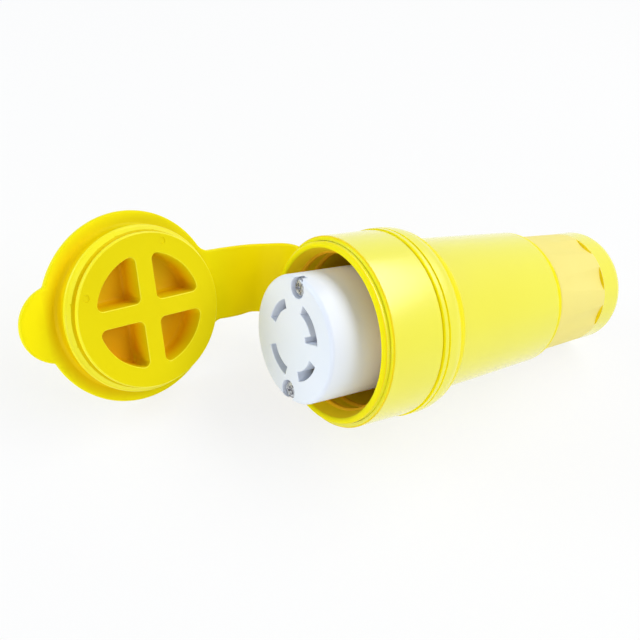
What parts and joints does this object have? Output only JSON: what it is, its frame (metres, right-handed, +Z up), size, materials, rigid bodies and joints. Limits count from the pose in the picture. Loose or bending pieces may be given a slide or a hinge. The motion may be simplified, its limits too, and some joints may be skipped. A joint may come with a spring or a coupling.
{
  "type": "watertight locking connector",
  "caption": "Cord-end power connector with a locking-blade socket face, a watertight moulded shell, a cable nut with flats and a tethered flip lid lying open.",
  "frame": {"origin": "centre of the footprint, on the surface that the connector lies on", "axes": "+X along the connector towards the cable end, +Z up; the lid lies on the +Y side"},
  "size_m": [0.2251, 0.0946, 0.0689],
  "materials": {
    "shell_yellow": "bright yellow, glossy moulding",
    "lid_yellow": "deep yellow elastomer, satin",
    "nut_yellow": "pale yellow, fine matte texture",
    "white_nylon": "cool white nylon, satin",
    "contact_brass": "stamped brass",
    "green_screw": "green finish of the ground terminal",
    "nickel": "nickel plate",
    "black_rubber": "soft black rubber"
  },
  "bodies": {
    "shell": {"body_shell": "shell_yellow", "lid_collar": "lid_yellow", "cord_grommet": "black_rubber", "insert_face": "white_nylon", "insert_base": "white_nylon", "contact_ground": "contact_brass", "contact_neutral": "contact_brass", "contact_line_a": "contact_brass", "contact_line_b": "contact_brass", "clamp_ground": "contact_brass", "clamp_neutral": "contact_brass", "clamp_line_a": "contact_brass", "clamp_line_b": "contact_brass", "ground_screw": "green_screw", "terminal_screws": "contact_brass", "assembly_screws": "nickel", "assembly_nuts": "nickel"},
    "lid": {"closure_lid": "lid_yellow"},
    "ring": {"friction_ring": "white_nylon"},
    "nut": {"compression_nut": "nut_yellow"}
  },
  "joints": [
    {"name": "lid_swing", "type": "hinge", "parent": "shell", "child": "lid", "pos_m": [-0.02495, 0.03251, 0.02419], "axis": [-0.227, -0.4325, -0.8726], "range_deg": [-30, 95], "stiffness_Nm_per_rad": 0.12},
    {"name": "nut_travel", "type": "slide", "parent": "shell", "child": "ring", "axis": [0.9943, 0, -0.1071], "range_m": [0, 0.006]},
    {"name": "nut_turn", "type": "hinge", "parent": "ring", "child": "nut", "pos_m": [0.09181, -0.01396, 0.02411], "axis": [0.9943, 0, -0.1071], "range_deg": [0, 720]}
  ],
  "couplings": [
    {"joint": "nut_travel", "follows": "nut_turn", "m_per_rad": 0.000477}
  ]
}
